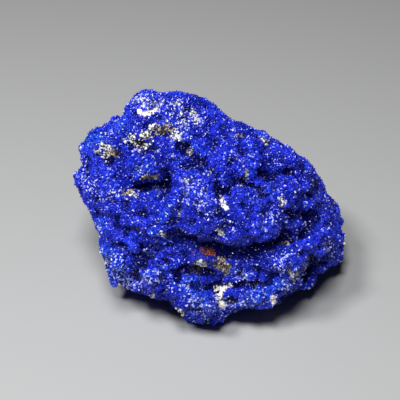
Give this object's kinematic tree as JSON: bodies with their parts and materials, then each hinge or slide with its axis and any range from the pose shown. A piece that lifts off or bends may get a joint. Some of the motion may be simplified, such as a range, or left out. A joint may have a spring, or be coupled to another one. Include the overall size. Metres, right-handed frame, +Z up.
{
  "type": "azurite specimen",
  "caption": "Small irregular nodule of deep blue azurite with a crust of tiny crystals, pale host rock in its creases, hollows on its front face and feet that it stands on.",
  "frame": {"origin": "on the table, below the middle of the stone's bounding box", "axes": "+X along the longest extent, to the right as the display face is seen; -Y towards the display face; +Z up"},
  "size_m": [0.0378, 0.0286, 0.0267],
  "materials": {
    "azurite": "finely crystalline crust with a glassy sparkle, deep ultramarine blue, with off-white and rust-brown grains of host rock in its creases"
  },
  "bodies": {
    "root": {"azurite_nodule": "azurite"}
  },
  "joints": []
}
